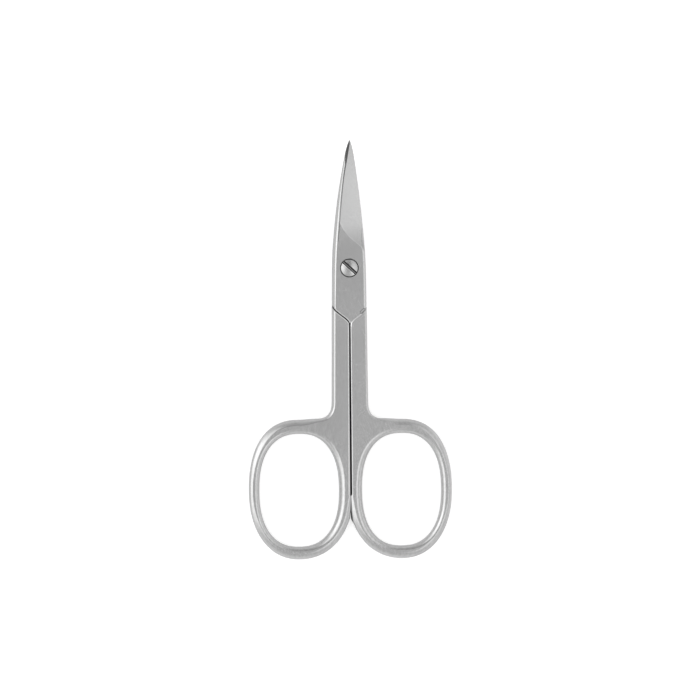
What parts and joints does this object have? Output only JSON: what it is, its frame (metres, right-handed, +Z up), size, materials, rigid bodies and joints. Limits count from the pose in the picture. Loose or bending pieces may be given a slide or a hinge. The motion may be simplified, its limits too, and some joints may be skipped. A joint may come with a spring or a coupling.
{
  "type": "nail scissors",
  "caption": "Small curved-blade nail scissors with oval finger rings, forged satin steel halves crossing at a slotted pivot screw.",
  "frame": {"origin": "middle of the closed scissors' length and width, on the surface they lie on", "axes": "+Y along the blades towards the tips, +Z up out of the face that shows the screw's slot, +X towards the ring of the front half"},
  "size_m": [0.0438, 0.09, 0.0059],
  "materials": {
    "satin_steel": "satin ground stainless steel, finer ground on the blade bevels",
    "screw_steel": "turned and lightly scratched steel"
  },
  "bodies": {
    "rear": {"rear_half": "satin_steel", "pivot_screw": "screw_steel"},
    "front": {"front_half": "satin_steel"}
  },
  "joints": [
    {"name": "pivot", "type": "hinge", "parent": "rear", "child": "front", "pos_m": [0, 0.01765, 0.0016], "axis": [0, 0, 1], "range_deg": [0, 130]}
  ]
}
